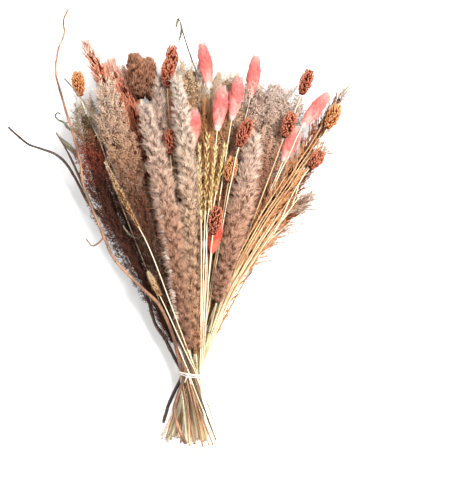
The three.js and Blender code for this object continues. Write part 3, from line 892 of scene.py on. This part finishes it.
# The finish of the head, the finish of the stem and how full the head is, then the plants that have them.
PLANTS = {
    name: (head, stem, full)
    for head, stem, full, *names in (
        ("pampas_rosy", "green_straw", 1.0, "pampas_front_left"),
        ("pampas_sand", "green_straw", 1.0, "pampas_front_middle"),
        ("pampas_rosy", "green_straw", 1.0, "pampas_behind", "pampas_right"),
        ("pampas_sand", "green_straw", 0.3, "pampas_under_left", "pampas_under_right"),
        ("broom_heather", "brown_straw", 1.0, "broom_left_outer"),
        ("broom_pale", "brown_straw", 1.0, "broom_left_pale"),
        # The brooms deep in the bunch take broom colours darkened as painted shade.
        ("broom_brown", "brown_straw", 1.0, "broom_left_inner"),
        ("broom_brown", "brown_straw", 0.45, "broom_left_under"),
        ("broom_tan", "golden_straw", 1.0, "broom_middle", "broom_middle_right"),
        ("broom_dome", "golden_straw", 1.0, "broom_dome_left", "broom_dome_right"),
        ("broom_brown", "brown_straw", 0.45, "broom_under_middle"),
        ("broom_dome", "brown_straw", 0.45, "broom_under_right"),
        ("salmon_reed", "golden_straw", 1.0, "salmon_reed_tall", "salmon_reed_middle", "salmon_reed_short"),
        ("brown_reed", "golden_straw", 1.0, "brown_reed_column"),
        ("dark_reed", "brown_straw", 1.0, "brown_reed_dark"),
        ("brown_reed", "golden_straw", 1.0, "brown_reed_back"),
        ("rust_reed", "golden_straw", 1.0, "rust_reed_top", "rust_reed_middle"),
        ("rust_reed", "cream_straw", 1.0, "rust_reed_low"),
        ("millet_head", "cream_straw", 1.0, "millet_left"),
        ("millet_head", "golden_straw", 1.0, "millet_right"),
        ("canary_red", "cream_straw", 1.0, "canary_top_right"),
        ("canary_red", "golden_straw", 1.0, "canary_dome"),
        ("canary_red", "cream_straw", 1.0, "canary_front", "canary_right"),
        ("canary_straw", "cream_straw", 1.0, "canary_golden"),
        ("canary_red", "cream_straw", 1.0, "canary_low"),
        ("canary_straw", "cream_straw", 1.0, "canary_left"),
        ("canary_red", "golden_straw", 1.0, "canary_stacked", "canary_stacked_back", "canary_deep"),
        ("canary_straw", "golden_straw", 1.0, "canary_between"),
        ("bunny_tail_coral", "cream_straw", 1.0,
         "bunny_tail_tall", "bunny_tail_front", "bunny_tail_middle", "bunny_tail_upper",
         "bunny_tail_between", "bunny_tail_right", "bunny_tail_right_low"),
        ("bunny_tail_red", "cream_straw", 1.0, "bunny_tail_red"),
        ("bunny_tail_coral", "cream_straw", 1.0, "bunny_tail_deep"),
        ("oat_head", "cream_straw", 1.0, "oat_left", "oat_middle", "oat_right", "oat_far_right"),
        ("foxtail_head", "cream_straw", 1.0, "foxtail_upper", "foxtail_lower"),
    )
    for name in names
}
JOINTS = 4  # joints along a straw
JOINT_SWELL = 0.22  # how much thicker a straw is at a joint
JOINT_LENGTH = 0.03  # how far a joint's swelling reaches, as a share of the way to the next joint
STRAW_STEP = 3
STRAW_TAPER = 0.3
STRAW_SIDES = 8
STRAW_WALL = 0.35  # as a share of the radius
STRAW_RIM = 0.1
STRAW_HOLLOW = 2  # depth of the hollow at the cut end, in radii


def straw(target, course, final, material):
    """A hollow straw from the cut end into the head, swollen at its joints."""
    count = max(12, round(final / STRAW_STEP))
    points = []
    radii = []
    for k in range(count + 1):
        points.append(course.frame(final * k / count).translation)
        joint = (k / count * JOINTS) % 1.0
        near = math.exp(-((min(joint, 1 - joint) / JOINT_LENGTH) ** 2))
        swell = JOINT_SWELL * near if k > 2 else 0.0
        radii.append(course.stem * (1 + swell) * (1.0 - STRAW_TAPER * k / count))
    bm = bmesh.new()
    low, high = STEM_BAND
    tube(bm, points, radii, STRAW_SIDES, lambda at, around: (at, low + (high - low) * around), material)
    layer = map_of(bm)
    ends = [f for f in bm.faces if len(f.verts) == STRAW_SIDES]
    end = min(ends, key=lambda f: (f.calc_center_median() - points[0]).length)
    bmesh.ops.inset_individual(bm, faces=[end], thickness=course.stem * STRAW_WALL)
    hollow = course.stem * STRAW_HOLLOW
    bmesh.ops.inset_individual(bm, faces=[end], thickness=course.stem * STRAW_RIM, depth=-hollow)
    for face in bm.faces:
        wide, high_up = (
            max(loop[layer].uv[k] for loop in face.loops) - min(loop[layer].uv[k] for loop in face.loops)
            for k in range(2)
        )
        if wide * high_up < 1e-6:
            spread_on_map(layer, face, Vector((0.01, low + 0.01)))
    strew(target, finished(bm, "straw"), Matrix(), 0.0)


ABOVE_TABLE = 0.3  # nothing lies lower


def piece(name, bm, materials, slot, *nodes):
    """Makes the finished object: to metres, above the table, riding on the bunch in place of nodes."""
    mesh = bpy.data.meshes.new(name)
    bm.to_mesh(mesh)
    bm.free()
    co = np.empty(3 * len(mesh.vertices), np.float32)
    mesh.vertices.foreach_get("co", co)
    co[2::3] = np.maximum(co[2::3], ABOVE_TABLE)
    mesh.vertices.foreach_set("co", co * MM)
    for material in materials:
        mesh.materials.append(material)
    mesh.update()
    result = bpy.data.objects.new(name, mesh)
    bpy.context.scene.collection.objects.link(result)
    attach(result, "root")
    if nodes:
        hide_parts(*nodes)
    return result


def kind_of(name):
    return next(kind for kind in KINDS if name.startswith(kind))


for number, (name, (head, stem, full)) in enumerate(PLANTS.items()):
    make_head, slot_name = KINDS[kind_of(name)]
    course = Course(name)
    bm = bmesh.new()
    map_of(bm)
    straw(bm, course, course.head(0.2), 1)
    make_head(bm, course, random.Random(number), full)
    piece(f"{name}_dried", bm, [FINISHES[head], STEMS[stem]], slot_name, name)


# ---- The willow ----


TWIG_STEP = 3
THINNEST_TWIG = 0.8
TWIG_UNEVEN = 0.12
WILLOW_ROUGH = 0.25  # height of the ridges on a branch
WILLOW_KNOB = 1.2  # and of its knobs
WILLOW_BARK = 0.22  # thickness that smoothing took away


def thin_willow(node, bark):
    course = Course(node)
    bm = bmesh.new()
    count = round(course.length / TWIG_STEP)
    steps = [course.length * k / count for k in range(count + 1)]
    points = [course.frame(s).translation for s in steps]
    radii = [
        max(THINNEST_TWIG, course.radius(s)) * (1 + TWIG_UNEVEN * math.sin(k * 1.7))
        for k, s in enumerate(steps[:-1])
    ]
    tube(bm, points, radii + [0.0], 8, lambda at, around: (at, around))
    bmesh.ops.recalc_face_normals(bm, faces=bm.faces)
    piece(f"{node}_twig", bm, [BARKS[bark]], "willow_bark", node)


def thick_willow(node, bark):
    """A curly branch: its solid rounded off, then roughened with ridges and knobs."""
    bm = bmesh.new()
    bm.from_mesh(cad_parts[node].data)
    bmesh.ops.remove_doubles(bm, verts=bm.verts, dist=1e-6)
    bmesh.ops.scale(bm, vec=(1 / MM, 1 / MM, 1 / MM), verts=bm.verts)
    bmesh.ops.join_triangles(bm, faces=bm.faces, angle_face_threshold=0.7, angle_shape_threshold=1.2)
    long_edges = [e for e in bm.edges if e.calc_length() > 3]
    bmesh.ops.subdivide_edges(bm, edges=long_edges, cuts=2, use_grid_fill=True)
    bmesh.ops.subdivide_edges(bm, edges=bm.edges, cuts=1, use_grid_fill=True)
    for _ in range(2):
        bmesh.ops.smooth_vert(
            bm, verts=bm.verts, factor=0.5, use_axis_x=True, use_axis_y=True, use_axis_z=True
        )
    bm.normal_update()
    for v in bm.verts:
        rough = noise.noise(Vector((v.co.x * 0.5, v.co.y * 0.12, v.co.z * 0.5)))
        knob = max(0.0, noise.noise(v.co * 0.07 + Vector((7, 0, 0))) - 0.35)
        v.co += v.normal * (WILLOW_BARK + WILLOW_ROUGH * rough + WILLOW_KNOB * knob)
    for face in bm.faces:
        face.smooth = True
    piece(f"{node}_branch", bm, [BARKS[bark]], "willow_bark", node)


thin_willow("willow_top", "willow_bark_grey")
thin_willow("willow_upper_left", "willow_bark_grey")
thick_willow("willow_orange", "willow_bark_orange")
thick_willow("willow_dark", "willow_bark_dark")


# ---- Curls, hooks and dry leaves ----

CURL_SIDES = 6
LEAF_SIDES = 10
LEAF_THINNESS = 0.09  # a leaf's thickness as a share of its width
LEAF_FOLD = 0.35  # how steeply its halves rise from its middle
LEAF_WAVE = 0.3


def smooth_line(corners, steps):
    """A curve through corners, in steps parts between each two of them."""
    points = []
    for k in range(len(corners) - 1):
        a, b = corners[k], corners[k + 1]
        before = corners[max(0, k - 1)]
        after = corners[min(len(corners) - 1, k + 2)]
        handles = (a + (b - before) / 6, b - (after - a) / 6)
        points += geometry.interpolate_bezier(a, *handles, b, steps + 1)[:-1]
    return points + [corners[-1]]


def from_tie(corners):
    """Places given as millimetres across and along from the tie and up from the table."""
    return [Vector((TIE_PLACE.x + x, TIE_PLACE.y + y, z)) for x, y, z in corners]


def curl(bm, corners, thick, thin):
    line = smooth_line(from_tie(corners), 5)
    radii = [thick + (thin - thick) * k / (len(line) - 1) for k in range(len(line) - 1)]
    tube(bm, line, radii + [0.0], CURL_SIDES, lambda at, around: (at, around))


def leaf(bm, corners, width, twist):
    """A narrow leaf, folded along its middle and twisted as it dried."""
    line = smooth_line(from_tie(corners), 6)
    turns = turns_along(line)
    blade = bmesh.new()
    share = [k / (len(line) - 1) for k in range(len(line))]
    radii = [width / 2 * max(0.12, math.sin(math.pi * (0.08 + 0.9 * at)) ** 0.6) for at in share]
    upright = [UP * k for k in range(len(line))]
    tube(blade, upright, radii[:-1] + [0.0], LEAF_SIDES, lambda at, around: (at, around))
    for v in blade.verts:
        k = min(len(line) - 1, round(v.co.z))
        across = v.co.x
        fold = LEAF_FOLD * abs(across) + LEAF_WAVE * math.sin(9 * share[k] + across)
        flat = Vector((across, v.co.y * LEAF_THINNESS + fold, 0))
        v.co = line[k] + turns[k] @ (Quaternion(UP, twist * share[k]) @ flat)
    strew(bm, finished(blade, "blade"), Matrix(), 0.0)


TIE_PLACE = sum(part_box("twine_tie"), Vector()) / 2 / MM
# Each curl: its thickness at the foot and at the tip, and the places it runs through.
CURLS = [
    (1.0, 0.6, [(-120, 246, 42), (-127, 254, 40), (-133, 257, 38), (-136, 261, 38), (-133, 264, 40),
                (-130, 262, 42)]),
    (0.9, 0.6, [(-112, 243, 44), (-119, 246, 42), (-124, 249, 40), (-126, 253, 40), (-122, 254, 42)]),
    (0.8, 0.5, [(40, 84, 40), (50, 92, 40), (60, 101, 38), (63, 108, 40)]),
    (0.7, 0.5, [(26, 62, 36), (34, 66, 36), (38, 72, 36), (37, 78, 38)]),
    (0.7, 0.5, [(18, 42, 34), (24, 46, 34), (29, 52, 34)]),
    (0.9, 0.6, [(-66, 150, 62), (-60, 142, 66), (-52, 138, 66), (-44, 141, 66), (-36, 138, 64)]),
    (0.8, 0.5, [(-52, 138, 66), (-46, 134, 66), (-40, 130, 64)]),
    (0.8, 0.5, [(62, 292, 50), (64, 300, 54), (63, 306, 54), (66, 309, 54), (70, 307, 54)]),
]
# Each leaf: its width, how far it is twisted, and the places it runs through.
LEAVES = [
    (5.5, 2.4, [(-112, 218, 34), (-121, 229, 37), (-128, 237, 38), (-135, 245, 38)]),
    (7.0, 1.6, [(-62, 128, 30), (-72, 140, 32), (-80, 152, 33), (-88, 164, 34)]),
    (4.0, 1.2, [(-14, 348, 52), (-11, 356, 54), (-9, 344, 55), (-12, 332, 54)]),
]
curls = bmesh.new()
map_of(curls)
for thick, thin, places in CURLS:
    curl(curls, places, thick, thin)
for width, twist, places in LEAVES:
    leaf(curls, places, width, twist)
bmesh.ops.recalc_face_normals(curls, faces=curls.faces)
piece("dry_leaves_and_curls", curls, [BARKS["dry_leaf"]], "dry_leaf")


# ---- Loose straws over the rust reeds ----

LOOSE_RADIUS = 0.75
LOOSE_STEP = 4  # spacing of the points along a loose straw
LOOSE_SPREAD = 9.0  # how far to either side of its reed a loose straw may end


def loose_straw(bm, course, side, above, start, end):
    """A bare straw that leaves the tie beside a plant's stem and comes to lie on its head."""
    count = round((end - start) / LOOSE_STEP)
    points = []
    for k in range(count + 1):
        place = course.frame(start + (end - start) * k / count)
        across = (place.to_3x3() @ UP).cross(UP).normalized()
        rise = math.sin(math.pi / 2 * min(1.0, 2.2 * k / count))
        aside = across * (side * (0.15 + 0.85 * k / count))
        points.append(place.translation + aside + UP * (above * (0.2 + 0.8 * rise)))
    low, high = STEM_BAND
    radii = [LOOSE_RADIUS * (1 - 0.45 * k / count) for k in range(count)]
    tube(bm, points, radii + [0.0], CURL_SIDES, lambda at, around: (at, low + (high - low) * around))


def loose_straws(name, plants, each, stem, seed_of):
    """A piece of loose straws, as many on each of the plants."""
    rng = random.Random(seed_of)
    bm = bmesh.new()
    map_of(bm)
    for plant in plants:
        course = Course(plant)
        tie_at = float(np.interp(TIE_PLACE.y, course.line[:, 1], course.steps))
        widest = max(course.radii)
        for k in range(each):
            side = LOOSE_SPREAD * (2 * (k + rng.random()) / each - 1)
            above = widest * rng.uniform(1.0, 1.5) * (1 - 0.3 * abs(side) / LOOSE_SPREAD)
            end = course.head(rng.uniform(0.35, 0.95))
            loose_straw(bm, course, side, above, tie_at + rng.uniform(4, 10), end)
    bmesh.ops.recalc_face_normals(bm, faces=bm.faces)
    piece(name, bm, [STEMS[stem]], "straw_stem")


loose_straws("loose_straws_cream", ("rust_reed_low", "rust_reed_middle"), 5, "cream_straw", 1)
loose_straws("loose_straws_golden", ("rust_reed_top", "rust_reed_middle"), 4, "golden_straw", 2)


# ---- The tie ----

PLY_RADIUS = 0.42  # of each of the twine's two plies
TURNS_OF_TWINE = 3
TWIST = 2.3  # length of the twine in which a ply goes once round
TIE_SLANT = 0.16  # how far the tie is turned from square across the stems
BAND_PITCH = 1.25  # from one turn of the twine to the next
PLY_SIDES = 7
STEPS_ROUND = 110  # points along one turn of the twine
KNOT_STEPS = 60
TAIL_STEPS = 14
TAILS = ((1, 9.0), (-1, 6.5))  # the side that each end of the twine hangs on, and its length


def tie_hull():
    """The closed line that the twine's middle follows round the stems, seen along them."""
    low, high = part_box("twine_tie")
    centre = (low + high) / 2 / MM
    rim = []
    for node in [*PLANTS, "willow_orange", "willow_dark"]:
        corners = [v.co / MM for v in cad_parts[node].data.vertices]
        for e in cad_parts[node].data.edges:
            a, b = (corners[k] for k in e.vertices)
            if (a.y - centre.y) * (b.y - centre.y) < 0:
                at = a.lerp(b, (centre.y - a.y) / (b.y - a.y))
                rim.append(Vector((at.x - centre.x, at.z - centre.z)))
    hull = [rim[k] for k in geometry.convex_hull_2d(rim)]
    return centre, hull


def round_the_hull(hull, count):
    """count points evenly spaced round the hull, clear of it by a ply."""
    loop = [p + p.normalized() * (2 * PLY_RADIUS) for p in hull]
    ends = loop[1:] + loop[:1]
    lengths = [(b - a).length for a, b in zip(loop, ends)]
    total = sum(lengths)
    points = []
    for k in range(count):
        rest = total * k / count
        for a, b, length in zip(loop, ends, lengths):
            if rest <= length:
                points.append(a.lerp(b, rest / length))
                break
            rest -= length
    for _ in range(3):
        points = [(points[k - 1] + 2 * points[k] + points[(k + 1) % count]) / 4 for k in range(count)]
    return points


def twisted_twine(bm, course_points):
    """Two plies wound round each other along a line."""
    turns = turns_along(course_points)
    along = [0.0]
    for a, b in zip(course_points, course_points[1:]):
        along.append(along[-1] + (b - a).length)
    for ply in range(2):
        points = []
        for place, turn, s in zip(course_points, turns, along):
            angle = 2 * math.pi * s / TWIST + ply * math.pi
            aside = turn @ Vector((math.cos(angle), math.sin(angle), 0))
            points.append(place + aside * (PLY_RADIUS * 0.85))
        radii = [PLY_RADIUS] * len(points)
        tube(bm, points, radii, PLY_SIDES, lambda at, around: (at, around * 0.9))


def twine_tie():
    """Turns of twine round the stems, a knot of two loops on top and two ends."""
    centre, hull = tie_hull()
    ring = round_the_hull(hull, STEPS_ROUND)
    slant = math.tan(TIE_SLANT)
    line = []
    for k in range(STEPS_ROUND * TURNS_OF_TWINE + 1):
        at = ring[k % STEPS_ROUND]
        turn = k / STEPS_ROUND
        level = (turn - TURNS_OF_TWINE / 2) * BAND_PITCH - at.x * slant
        line.append(centre + Vector((at.x, level + 0.35 * math.sin(turn * 9.0), at.y)))
    bm = bmesh.new()
    twisted_twine(bm, line)
    top = max(ring, key=lambda p: p.y - abs(p.x + 1))
    knot = centre + Vector((top.x - 1, -top.x * slant, top.y + 0.9))
    loops = []
    for k in range(KNOT_STEPS):
        a = 2 * math.pi * k / (KNOT_STEPS - 1)
        across = 1.5 * math.sin(a) + 1.1 * math.sin(2 * a)
        along = 1.3 * math.cos(a) - 1.0 * math.cos(2 * a)
        loops.append(knot + Vector((across, along, 0.7 * math.sin(3 * a) + 0.5)))
    twisted_twine(bm, loops)
    for side, reach in TAILS:
        tail = []
        for k in range(TAIL_STEPS):
            a = k / (TAIL_STEPS - 1)
            sag = 0.6 - 2.2 * a * a + 0.5 * math.sin(a * 6)
            tail.append(knot + Vector((side * (1 + 2.2 * a), -1 - reach * a, sag)))
        twisted_twine(bm, tail)
    bmesh.ops.recalc_face_normals(bm, faces=bm.faces)
    piece("twine_tie_wound", bm, [TWINE], "twine", "twine_tie")


twine_tie()


# ---- Camera, light and table ----

TIE_LOW, TIE_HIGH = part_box("twine_tie")
TIE = (TIE_LOW + TIE_HIGH) / 2
VIEW_HEIGHT = 485 * MM  # how much of the bunch's length the view takes in
VIEW_DISTANCE = 1.7
FOCUS = TIE + Vector((36.5 * MM, 133.5 * MM, 20 * MM))

camera_data = bpy.data.cameras.new("camera")
camera_data.lens = camera_data.sensor_width * VIEW_DISTANCE / VIEW_HEIGHT
camera = bpy.data.objects.new("camera", camera_data)
camera.location = FOCUS + Vector((0, 0, VIEW_DISTANCE))
bpy.context.scene.collection.objects.link(camera)
bpy.context.scene.camera = camera


def soft_light(name, place, size, power):
    data = bpy.data.lights.new(name, "AREA")
    data.shape = "DISK"
    data.size = size
    data.energy = power
    light = bpy.data.objects.new(name, data)
    light.location = FOCUS + Vector(place)
    light.rotation_euler = (-Vector(place)).to_track_quat("-Z", "Y").to_euler()
    bpy.context.scene.collection.objects.link(light)


soft_light("key_light", (0.58, 0.28, 1.45), 0.55, 66)
soft_light("fill_light", (-1.0, -0.4, 1.3), 1.2, 8)

world = bpy.data.worlds.new("studio")
world.use_nodes = True
world.node_tree.nodes["Background"].inputs["Color"].default_value = (1, 1, 1, 1)
world.node_tree.nodes["Background"].inputs["Strength"].default_value = 0.78
bpy.context.scene.world = world
bpy.context.scene.view_settings.view_transform = "Standard"

bm = bmesh.new()
bmesh.ops.create_grid(bm, x_segments=2, y_segments=2, size=3.0)
floor_mesh = bpy.data.meshes.new("table")
bm.to_mesh(floor_mesh)
bm.free()
floor = bpy.data.objects.new("table", floor_mesh)
bpy.context.scene.collection.objects.link(floor)
table = Finish("pale_table")
speckle = table.noise(table.add("ShaderNodeTexCoord").outputs["Object"], 40.0)
table.set("Base Color", table.ramp(speckle, [(0.3, "f8f8f8"), (0.7, "fcfcfc")]))
table.set("Roughness", 0.9)
floor_mesh.materials.append(table.material)
